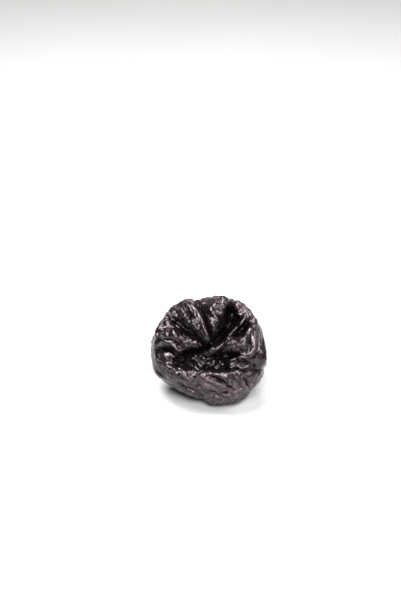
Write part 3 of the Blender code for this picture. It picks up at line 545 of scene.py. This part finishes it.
def fold_sum(across, up, routes):
    """Sum of the named folds at each (across, up).

    With x the distance to the route over the fold's width, a crest is its height times the exponential of
    minus the sharpness times x squared, a rounded ridge, and a crease that of minus x to the power of the
    squareness, a trough with a soft floor. Also gives how near each point is to a crest where the skin is
    stretched smooth, from 0 to 1.
    """
    total = np.zeros(len(across))
    stretched = np.zeros(len(across))
    for name, (height, left, right, _) in FOLDS.items():
        route = routes[name]
        low = route[:, :2].min(axis=0) - FOLD_REACH
        high = route[:, :2].max(axis=0) + FOLD_REACH
        near = np.flatnonzero((across > low[0]) & (across < high[0]) & (up > low[1]) & (up < high[1]))
        gap, shares = along_route(across[near], up[near], route)
        width = np.maximum(np.where(gap > 0, left, right) * shares[:, 1], NARROWEST_FOLD)
        x = np.abs(gap) / width
        if height > 0:
            profile = np.exp(-CREST_SHARPNESS * x * x)
            if name in SMOOTH_CRESTS:
                stretched[near] = np.maximum(stretched[near], shares[:, 0] * np.exp(-x * x))
        else:
            profile = np.exp(-(x ** CREASE_SQUARENESS))
        total[near] += height * shares[:, 0] * profile
    return total, stretched


def named_routes():
    """The folds' routes as they are seen from the front."""
    return {name: smooth_route(fold[3]) for name, fold in FOLDS.items()}


def facing_share(facing):
    """Share of its height that a fold has: all where the skin faces the viewer, less on the sides."""
    return SIDE_SHARE + (1 - SIDE_SHARE) * facing


def foot_routes():
    """The folds' routes where they leave the lump, for them to be seen on the named points.

    Each route is moved against the way that the skin carries it as it rises or sinks along its normal,
    by the mean rise along the route.
    """
    routes = named_routes()
    corners = np.vstack(list(routes.values()))
    normals = skin_lean(corners[:, 0], corners[:, 1])
    facing = smoothstep(*FACING_VIEWER, normals @ TO_VIEWER)
    rise = fold_sum(corners[:, 0], corners[:, 1], routes)[0] * facing_share(facing)
    rise -= dish(corners[:, 0], corners[:, 1])
    rise *= 1 - smoothstep(*DEEP_FOLDS, rise)
    start = 0
    for name, route in routes.items():
        end = start + len(route)
        mean_rise = rise[start:end].mean()
        route[:, 0] -= mean_rise * (normals[start:end] @ RIGHT)
        route[:, 1] -= mean_rise * (normals[start:end] @ VIEW_UP)
        start = end
    return routes


def wrinkle_runs(points, spacing, seed):
    """Long fine wrinkles of the face: ridged noise, stretched along the way that they run at each place.

    Each place of the grain has its own ridged noise, and the sum is their mean, weighted by a bell curve of
    the distance to the place, so where two places meet, one's wrinkles fade into the other's.
    """
    across = points @ RIGHT
    up = points @ VIEW_UP
    depth = points @ TO_VIEWER
    total = np.zeros(len(points))
    shared = np.full(len(points), LEAST_SUM)
    for number, (x, y, turn, height) in enumerate(GRAIN):
        share = np.exp(-((across - x) ** 2 + (up - y) ** 2) / RUN_REACH ** 2)
        near = np.flatnonzero(share > LEAST_SHARE)
        share = share[near] ** RUN_BLEND
        way = (math.cos(math.radians(turn)), math.sin(math.radians(turn)))
        along = (across[near] * way[0] + up[near] * way[1]) / (RUN_STRETCH * spacing)
        aside = (up[near] * way[0] - across[near] * way[1]) / spacing
        own = np.stack([along, aside, depth[near] / (RUN_DEPTH * spacing)], axis=1)
        drift = RUN_DRIFT * noise_vector(own / 2, seed + GRAIN_DRIFT_SEED_STEP)
        ridges = ridged(own + drift, seed + GRAIN_SEED_STEP * number, RUN_SOFTNESS)
        total[near] += share * height * ridges
        shared[near] += share
    return total / shared


def rays(points, count, length):
    """Noise coordinates in which folds run like rays, from the shoulder over the side to the pucker.

    They are the count times the cosine and sine of the turn round the face's middle, and the way from the
    front to the back over the folds' length, all drawn together near the middle so that the rays merge.
    Also gives how far they are drawn, from the tightest share to one.
    """
    across = points @ RIGHT
    face_up = points @ FACE_UP
    turn = np.arctan2(face_up, across)
    spread = RAY_TIGHTEST + (1 - RAY_TIGHTEST) * np.clip(np.hypot(across, face_up) / RAY_RADIUS, 0, 1)
    own = np.stack([count * np.cos(turn), count * np.sin(turn), points @ FACE_OUT / length], axis=1)
    return own * spread[:, None], spread


def back_runs(points, spacing, seed):
    """Long fine wrinkles of the sides and the back: ridged noise along the rays."""
    own, _ = rays(points, BACK_RUN_COUNT / spacing, RUN_STRETCH * spacing)
    drift = BACK_RUN_DRIFT * noise_vector(points / (RUN_DEPTH * spacing), seed)
    return ridged(own + drift, seed + BACK_RIDGE_SEED_STEP, RUN_SOFTNESS)


# Surface of the fruit

def outline_reach(turn):
    """Reach of the outline at each turn: a mean of the named reaches, in which the near ones count most.

    A named reach's weight is the exponential of the cosine of the angle to it, less one, over the blend.
    """
    named_turns = np.radians([turn_reach[0] for turn_reach in OUTLINE])
    named_reaches = np.array([turn_reach[1] for turn_reach in OUTLINE])
    weights = np.exp((np.cos(turn[:, None] - named_turns) - 1) / OUTLINE_BLEND)
    return (weights * named_reaches).sum(axis=1) / weights.sum(axis=1)


def lump(directions):
    """Squashed ball that sags low at the back and is drawn to the outline as seen from the front.

    Its reach in a direction is the sum of the direction's three parts, each over the half size and to the
    power of the roundness, to the power of minus one over the roundness. The sag adds a bell curve about
    its own way, and the outline stretches the point away from the middle of the view.
    """
    across = np.abs(directions @ RIGHT) / HALF_WIDTH
    up = np.abs(directions @ FACE_UP) / HALF_HEIGHT
    out = np.abs(directions @ FACE_OUT) / HALF_THICKNESS
    reach = (across ** ROUNDNESS + up ** ROUNDNESS + out ** ROUNDNESS) ** (-1 / ROUNDNESS)
    reach += SAG_DEPTH * np.exp((directions @ unit(np.array(SAG_WAY)) - 1) / SAG_SPREAD)
    points = directions * reach[:, None]
    x = points @ RIGHT
    y = points @ VIEW_UP
    stretch = (outline_reach(np.arctan2(y, x)) - OUTLINE_MARGIN) / LUMP_REACH - 1
    stretch *= smoothstep(*DRAWN_TO_OUTLINE, np.hypot(x, y))
    return points + np.outer(x * stretch, RIGHT) + np.outer(y * stretch, VIEW_UP)


def prune_surface(directions, fold_height, wrinkle_height):
    """The lump moved in or out by the sum of its dish, named folds, shoulder folds, pucker and wrinkles.

    Also gives that sum, mm, for the skin's colour, which paints shade into the creases.
    """
    points = lump(directions)
    across = points @ RIGHT
    face_up = points @ FACE_UP
    face_out = points @ FACE_OUT
    up = points @ VIEW_UP
    normals = unit(np.outer(across / HALF_WIDTH ** 2, RIGHT) + np.outer(face_up / HALF_HEIGHT ** 2, FACE_UP)
                   + np.outer(face_out / HALF_THICKNESS ** 2, FACE_OUT))

    front = smoothstep(*FRONT_HALF, points @ TO_VIEWER)
    facing = smoothstep(*FACING_VIEWER, normals @ TO_VIEWER)
    folds, _ = fold_sum(across, up, foot_routes())
    height = front * (fold_height * folds * facing_share(facing) - dish(across, up))

    # creases that run from the shoulder over the side to the back, with rounded folds between them
    own, spread = rays(points, SHOULDER_FOLD_COUNT, SHOULDER_FOLD_LENGTH)
    shift = SHOULDER_DRIFT * noise_vector(points / SHOULDER_DRIFT_SPACING, SHOULDER_DRIFT_SEED)
    shoulder = ridged(own + shift, SHOULDER_SEED, SHOULDER_SOFTNESS)
    behind = 1 - front
    height -= behind * (SHOULDER_FOLD_HEIGHT * shoulder + SHOULDER_SETBACK) * (1 + spread) / 2
    from_pucker = np.hypot(across - PUCKER_MIDDLE[0], face_up - PUCKER_MIDDLE[1]) / PUCKER_RADIUS
    height -= PUCKER_DEPTH * smoothstep(*BACK_OF_LUMP, face_out) * np.exp(-from_pucker ** 2)

    # broad wrinkles all over, a little lower on the face, and closer ones on the back
    drift = WRINKLE_DRIFT * noise_vector(points / WRINKLE_DRIFT_SPACING, WRINKLE_DRIFT_SEED)
    on_face = smoothstep(*FACE_OF_BALL, directions @ FACE_OUT)
    share = WRINKLE_HEIGHT + (FACE_WRINKLE_HEIGHT - WRINKLE_HEIGHT) * on_face
    broad = ridged((points + drift) / WRINKLE_SPACING, WRINKLE_SEED, WRINKLE_SOFTNESS)
    height += wrinkle_height * share * broad
    close = ridged((points + drift) / BACK_WRINKLE_SPACING, BACK_WRINKLE_SEED, BACK_WRINKLE_SOFTNESS)
    height += behind * BACK_WRINKLE_HEIGHT * close

    # shallow folds move along the skin's own normal, deep ones straight back from the viewer
    deep = (smoothstep(*DEEP_FOLDS, height) * front * facing)[:, None]
    points = points + unit(normals * (1 - deep) + TO_VIEWER * deep) * height[:, None]

    # the belly is pressed flat where it lies on the table
    points[:, 2] = np.maximum(points[:, 2] + MIDDLE_ABOVE_TABLE, 0.0)
    return points, height


def ball_grid(grid):
    """Directions and four-sided faces of a ball: six square grids of two parameters, joined at the edges.

    A direction's part along each of a cube's axes is the tangent of the parameter's angle, from -45 to 45
    degrees, and all lean towards the face of the fruit by the crowding. The parameters are whole numbers, so
    points shared by two sides are the same key and become one vertex.
    """
    steps = 2 * np.arange(grid + 1) - grid
    u, v = np.meshgrid(steps, steps, indexing="ij")
    one = np.full_like(u, grid)
    sides = [(one, u, v), (-one, -u, v), (-u, one, v), (u, -one, v), (-v, u, one), (v, u, -one)]
    keys = np.vstack([np.stack([axis.ravel() for axis in side], axis=1) for side in sides])
    i, j = np.meshgrid(np.arange(grid), np.arange(grid), indexing="ij")
    first = (i * (grid + 1) + j).ravel()
    square = np.stack([first, first + grid + 1, first + grid + 2, first + 1], axis=1)
    faces = np.vstack([square + side * (grid + 1) ** 2 for side in range(6)])
    corners, joined = np.unique(keys, axis=0, return_inverse=True)
    even = unit(np.tan(corners / grid * math.pi / 4))
    directions = np.outer(even[:, 0], RIGHT) + np.outer(even[:, 1], -FACE_OUT) + np.outer(even[:, 2], FACE_UP)
    return unit(directions + CROWDING * FACE_OUT), joined.reshape(-1)[faces]


def gathered(index, values, count):
    """Sum of the values' rows at each index."""
    return np.stack([np.bincount(index, column, count) for column in values.T], axis=1)


def skin_normals(points, faces):
    """Outward normals of a mesh: the mean cross product of the diagonals of the faces round each point."""
    spans = np.cross(points[faces[:, 2]] - points[faces[:, 0]], points[faces[:, 3]] - points[faces[:, 1]])
    return unit(gathered(faces.ravel(), np.repeat(spans, 4, axis=0), len(points)))


def neighbour_means(values, faces):
    """Mean of each point's neighbours along the edges."""
    edges = np.vstack([faces[:, [0, 1]], faces[:, [1, 2]], faces[:, [2, 3]], faces[:, [3, 0]]])
    count = np.bincount(edges[:, 0], minlength=len(values))
    return gathered(edges[:, 0], values[edges[:, 1]], len(values)) / count[:, None]


def evened(points, faces):
    """Points slid within the skin towards the mean of their neighbours, so that steep walls get enough."""
    for _ in range(EVENING_ROUNDS):
        move = neighbour_means(points, faces) - points
        normals = skin_normals(points, faces)
        points = points + EVENING_STEP * (move - normals * (move * normals).sum(axis=1)[:, None])
    return points


def dullness(directions, points):
    """Share of dull bloom: none on the moist face, most on the right of the belly, the sides and the back."""
    above_lip = smoothstep(*ABOVE_LIP, (points - [0, 0, MIDDLE_ABOVE_TABLE]) @ VIEW_UP)
    in_front = smoothstep(*FRONT_OF_BALL, directions @ TO_VIEWER)
    # little dull bloom on the left of the belly, so that its colour is darker there as painted shade
    paler_right_shaded_left = LEAST_DULL_ON_SHADED_LEFT + (1 - LEAST_DULL_ON_SHADED_LEFT) * smoothstep(*RIGHT_SIDE, points @ RIGHT)
    return paler_right_shaded_left * (1 - above_lip * in_front)


def finely_wrinkled(points, faces, dull, wrinkle_height):
    """The skin raised along its true normals by the sum of the fine wrinkles and the pebbling.

    The face's wrinkles give way to the back's behind it, and where a crest stretches the skin few are left.
    """
    normals = skin_normals(points, faces)
    centred = points - [0, 0, MIDDLE_ABOVE_TABLE]
    on_face = smoothstep(*FACE_WRINKLES, centred @ TO_VIEWER)
    _, stretched = fold_sum(centred @ RIGHT, centred @ VIEW_UP, named_routes())
    height = np.zeros(len(points))
    for number, (spacing, share) in enumerate(RUNS):
        face_runs = wrinkle_runs(centred, spacing, RUN_SEED + RUN_SEED_STEP * number)
        other_runs = back_runs(centred, spacing, BACK_RUN_SEED + BACK_RUN_SEED_STEP * number)
        height += share * on_face * face_runs + share * (1 - on_face) * BACK_RUN_HEIGHT * other_runs
    for number, (spacing, pebble_height) in enumerate(PEBBLES):
        height += (1 + DULL_PEBBLING * dull) * pebble_height * noise(centred / spacing, PEBBLE_SEED + number)
    height *= 1 - STRETCHED_SMOOTH * on_face * stretched
    points = points + normals * (wrinkle_height * height)[:, None]
    points[:, 2] = np.maximum(points[:, 2], 0.0)
    return points


# Materials

def linear(hex_code):
    """Linear red, green, blue and alpha of an sRGB hex code such as "#1B1216"."""
    channels = [int(hex_code[i:i + 2], 16) / 255 for i in (1, 3, 5)]
    return [c / 12.92 if c <= 0.04045 else ((c + 0.055) / 1.055) ** 2.4 for c in channels] + [1.0]


def add_node(tree, kind, settings=None, **inputs):
    """New node: settings are its own fields, and each input is a value or another node's output socket.

    An input is named as in Blender, with _ for a space, or by its number, such as _0.
    """
    node = tree.nodes.new(kind)
    for field, value in (settings or {}).items():
        setattr(node, field, value)
    for socket, value in inputs.items():
        by_number = socket[1:].isdigit()
        target = node.inputs[int(socket[1:]) if by_number else socket.replace("_", " ")]
        if isinstance(value, bpy.types.NodeSocket):
            tree.links.new(value, target)
        else:
            target.default_value = value
    return node


def noise_pattern(tree, place, size, detail, roughness):
    """Value of a noise whose broadest features are about the given size, mm."""
    scale = 1 / (size * MM)
    node = add_node(tree, "ShaderNodeTexNoise", Vector=place, Scale=scale, Detail=detail, Roughness=roughness)
    return node.outputs["Fac"]


def map_range(tree, value, low, high, new_low=0.0, new_high=1.0):
    """Value carried from the range low to high to the range new_low to new_high."""
    node = add_node(tree, "ShaderNodeMapRange", Value=value, From_Min=low, From_Max=high, To_Min=new_low,
                    To_Max=new_high)
    return node.outputs["Result"]


def product(tree, first, second):
    """Product of two values."""
    return add_node(tree, "ShaderNodeMath", {"operation": "MULTIPLY"}, _0=first, _1=second).outputs[0]


def mixed_colour(tree, share, first, second):
    """Colour between the first, where the share is nought, and the second, where it is one."""
    node = add_node(tree, "ShaderNodeMix", {"data_type": "RGBA"}, _0=share, _6=first, _7=second)
    return node.outputs[2]


def new_material(name):
    """Empty node material with a Principled shader joined to its output, and its place in object space."""
    material = bpy.data.materials.new(name)
    material.use_nodes = True
    tree = material.node_tree
    tree.nodes.clear()
    shader = add_node(tree, "ShaderNodeBsdfPrincipled")
    add_node(tree, "ShaderNodeOutputMaterial", Surface=shader.outputs["BSDF"])
    place = add_node(tree, "ShaderNodeTexCoord").outputs["Object"]
    return material, tree, shader, place


def dried_plum_skin(look):
    """Dried plum skin: moist cuticle over sticky flesh, with a dull purple bloom, and near black in the
    creases as painted shade.

    The eye gets a wet shine that breaks up on the pores, creases darkened as painted shade, and dustier
    patches on the belly, the sides and the back, fewer on the left of the belly, which leaves painted shade
    there.
    """
    material, tree, shader, place = new_material("dried plum skin")
    # share of the skin out of the creases, where painted shade darkens the colour
    skin_out_of_painted_crease_shade = add_node(tree, "ShaderNodeAttribute", {"attribute_name": "skin_out_of_painted_crease_shade"}).outputs["Fac"]
    dull = add_node(tree, "ShaderNodeAttribute", {"attribute_name": "dull"}).outputs["Fac"]

    # bloom patches on the open skin, and down in the creases the crease colour, which is painted shade
    patches = noise_pattern(tree, place, BLOOM_SIZE, detail=5.0, roughness=0.68)
    patches = map_range(tree, patches, low=0.36, high=0.66)
    bloom = mixed_colour(tree, product(tree, patches, skin_out_of_painted_crease_shade), linear(look.painted_crease_shade_colour),
                         linear(look.bloom_colour))
    # pale dust patches on the open dull skin, thin on the left of the belly as painted shade
    dust = noise_pattern(tree, place, DUST_SIZE, detail=3.0, roughness=0.6)
    dust = map_range(tree, dust, low=0.44, high=0.66)
    dust_and_left_shade = product(tree, product(tree, dust, skin_out_of_painted_crease_shade), dull)
    colour = mixed_colour(tree, dust_and_left_shade, bloom, linear(look.dust_colour))
    tree.links.new(colour, shader.inputs["Base Color"])

    # moist places are a little smoother than the rest, and the dull skin is rougher
    smoothest = look.roughness - MOIST_SMOOTHER
    roughest = look.roughness + DRY_ROUGHER
    moisture = noise_pattern(tree, place, MOISTURE_SIZE, detail=3.0, roughness=0.6)
    gloss = map_range(tree, moisture, low=0.3, high=0.7, new_low=smoothest, new_high=roughest)
    roughness = add_node(tree, "ShaderNodeMath", {"operation": "MULTIPLY_ADD"}, _0=dull, _1=DULL_ROUGHER,
                         _2=gloss)
    tree.links.new(roughness.outputs[0], shader.inputs["Roughness"])
    shader.inputs["IOR"].default_value = SKIN_IOR
    shader.inputs["Specular Tint"].default_value = SKIN_SHINE_TINT

    pores = noise_pattern(tree, place, PORE_SIZE, detail=3.0, roughness=0.6)
    bump = add_node(tree, "ShaderNodeBump", Height=pores, Strength=0.8, Distance=PORE_DEPTH * MM)
    tree.links.new(bump.outputs["Normal"], shader.inputs["Normal"])
    return material


def matt_pale_board(look):
    """Matt laminated board: a mid-pale even table top, burnt out to white by the strong light.

    The eye gets the faintest mottle.
    """
    material, tree, shader, place = new_material("matt pale board")
    mottle = noise_pattern(tree, place, MOTTLE_SIZE, detail=2.0, roughness=0.5)
    colour = mixed_colour(tree, mottle, linear(look.table_colour), linear(look.mottle_colour))
    tree.links.new(colour, shader.inputs["Base Color"])
    shader.inputs["Roughness"].default_value = BOARD_ROUGHNESS
    return material


# Settings that a user would change

class PruneShapeSettings(bpy.types.PropertyGroup):
    grid: IntProperty(
        name="Grid", description="Faces along one side of the cube that the ball of directions comes from",
        default=128, min=16, max=128)
    fold_height: FloatProperty(
        name="Fold height", description="Height of the face's crests and creases, a share of the real ones",
        default=1.0, min=0.0, max=1.1, subtype="FACTOR")
    wrinkle_height: FloatProperty(
        name="Wrinkle height", description="Height of the fine wrinkles, a share of the real ones",
        default=1.0, min=0.0, max=1.5, subtype="FACTOR")


class PruneLookSettings(bpy.types.PropertyGroup):
    # colour of the painted shade down in the creases
    painted_crease_shade_colour: StringProperty(
        name="Crease colour", description="sRGB hex code of the skin down in the creases", default="#050304")
    bloom_colour: StringProperty(
        name="Bloom colour", description="sRGB hex code of the bloom on the open skin", default="#140D10")
    dust_colour: StringProperty(
        name="Dust colour", description="sRGB hex code of the palest bloom on the belly and back",
        default="#4F4146")
    roughness: FloatProperty(
        name="Roughness", description="Roughness of the moist skin", default=0.19, min=0.0, max=1.0,
        subtype="FACTOR")
    table_colour: StringProperty(
        name="Table colour", description="sRGB hex code of the table top", default="#9A9A99")
    mottle_colour: StringProperty(
        name="Mottle colour", description="sRGB hex code of the paler places in the table top",
        default="#9E9E9D")


class PruneStageSettings(bpy.types.PropertyGroup):
    lens: FloatProperty(
        name="Lens", description="Focal length of the camera, mm on a 36 mm sensor", default=100.0, min=20.0)
    light_power: FloatProperty(
        name="Light power", description="Power that the soft boxes' shares are taken of", default=3.5,
        min=0.0, unit="POWER")
    room_light: FloatProperty(
        name="Room light", description="Strength of the even light of the room", default=0.04, min=0.0)


# Operators

class PRUNE_OT_build(bpy.types.Operator):
    """Build the prune's skin as one closed surface with its folds and wrinkles"""
    bl_idname = "prune.build"
    bl_label = "Prune"

    def execute(self, context):
        shape = context.scene.prune_shape
        directions, faces = ball_grid(shape.grid)
        points, height = prune_surface(directions, shape.fold_height, shape.wrinkle_height)
        points = evened(points, faces)
        # dull share, whose thin pale dust on the left of the belly is painted shade there
        dull = dullness(directions, points)
        points = finely_wrinkled(points, faces, dull, shape.wrinkle_height)
        mesh = bpy.data.meshes.new("prune_skin")
        mesh.from_pydata((points * MM).tolist(), [], faces.tolist())
        if mesh.validate():
            raise RuntimeError("the prune's mesh has broken faces")
        mesh.shade_smooth()
        # share of the open skin, out of the creases' painted shade, and the dull share
        for name, share in (("skin_out_of_painted_crease_shade", smoothstep(*OUT_OF_PAINTED_CREASE_SHADE, height)), ("dull", dull)):
            attribute = mesh.attributes.new(name, "FLOAT", "POINT")
            attribute.data.foreach_set("value", share.astype(np.float32))
        mesh.materials.append(dried_plum_skin(context.scene.prune_look))
        skin = bpy.data.objects.new("prune_skin", mesh)
        context.scene.collection.objects.link(skin)
        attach(skin, "root")
        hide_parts("prune")
        return {"FINISHED"}


def soft_box(name, turn, rise, size, power):
    """Rectangular soft light turned to the fruit, in degrees round from the camera and above the table."""
    turn = math.radians(turn)
    rise = math.radians(rise)
    middle = Vector((0, 0, MIDDLE_ABOVE_TABLE * MM))
    towards = Vector((math.sin(turn) * math.cos(rise), -math.cos(turn) * math.cos(rise), math.sin(rise)))
    lamp = bpy.data.lights.new(name, "AREA")
    lamp.shape = "RECTANGLE"
    lamp.size, lamp.size_y = size
    lamp.energy = power
    holder = bpy.data.objects.new(name, lamp)
    holder.location = middle + LIGHT_DISTANCE * towards
    holder.rotation_euler = (-towards).to_track_quat("-Z", "Y").to_euler()
    bpy.context.scene.collection.objects.link(holder)


class PRUNE_OT_stage(bpy.types.Operator):
    """Lay the pale table, hang the soft lights and set the camera at the photograph's height"""
    bl_idname = "prune.stage"
    bl_label = "Stage"

    def execute(self, context):
        stage = context.scene.prune_stage
        half = TABLE_HALF_SIZE
        corners = [(-half, -half, 0), (half, -half, 0), (half, half, 0), (-half, half, 0)]
        mesh = bpy.data.meshes.new("table_top")
        mesh.from_pydata(corners, [], [(0, 1, 2, 3)])
        mesh.materials.append(matt_pale_board(context.scene.prune_look))
        table = bpy.data.objects.new("table_top", mesh)
        context.scene.collection.objects.link(table)

        for name, turn, rise, size, share in SOFT_BOXES:
            soft_box(name, turn, rise, size, share * stage.light_power)

        world = bpy.data.worlds.new("white_room")
        world.use_nodes = True
        room = world.node_tree.nodes["Background"]
        room.inputs["Color"].default_value = (1.0, 1.0, 1.0, 1.0)
        room.inputs["Strength"].default_value = stage.room_light
        context.scene.world = world

        camera = bpy.data.cameras.new("camera")
        camera.lens = stage.lens
        camera.sensor_width = SENSOR_WIDTH
        camera.sensor_fit = "AUTO"
        holder = bpy.data.objects.new("camera", camera)
        context.scene.collection.objects.link(holder)
        width, height = PHOTO_SIZE
        distance = height / PIXELS_PER_MM * MM * stage.lens / SENSOR_WIDTH
        right = (FRUIT_PIXEL[0] - width / 2) / PIXELS_PER_MM * MM
        down = (FRUIT_PIXEL[1] - height / 2) / PIXELS_PER_MM * MM
        to_viewer = Vector(TO_VIEWER)
        aim = Vector((0, 0, MIDDLE_ABOVE_TABLE * MM)) - right * Vector(RIGHT) + down * Vector(VIEW_UP)
        holder.location = aim + distance * to_viewer
        holder.rotation_euler = (-to_viewer).to_track_quat("-Z", "Y").to_euler()
        context.scene.camera = holder
        context.scene.view_settings.view_transform = "Standard"
        return {"FINISHED"}


# Boxes of the panel: (group of settings, operator of the box's button)
PANEL_BOXES = [("prune_shape", "prune.build"), ("prune_look", None), ("prune_stage", "prune.stage")]


class PRUNE_PT_panel(bpy.types.Panel):
    """Panel in the 3D view's sidebar with the settings and a button for each piece"""
    bl_label = "Pitted Prune"
    bl_idname = "PRUNE_PT_panel"
    bl_space_type = "VIEW_3D"
    bl_region_type = "UI"
    bl_category = "Prune"

    def draw(self, context):
        layout = self.layout
        for group, operator in PANEL_BOXES:
            settings = getattr(context.scene, group)
            box = layout.box()
            for name in settings.__annotations__:
                box.prop(settings, name)
            if operator:
                box.operator(operator)


GROUPS = {
    "prune_shape": PruneShapeSettings,
    "prune_look": PruneLookSettings,
    "prune_stage": PruneStageSettings,
}
CLASSES = [*GROUPS.values(), PRUNE_OT_build, PRUNE_OT_stage, PRUNE_PT_panel]


def register():
    for cls in CLASSES:
        bpy.utils.register_class(cls)
    for name, group in GROUPS.items():
        setattr(bpy.types.Scene, name, PointerProperty(type=group))


def unregister():
    for name in GROUPS:
        delattr(bpy.types.Scene, name)
    for cls in reversed(CLASSES):
        bpy.utils.unregister_class(cls)


def main():
    register()
    bpy.ops.prune.build()
    bpy.ops.prune.stage()


if __name__ == "__main__":
    main()
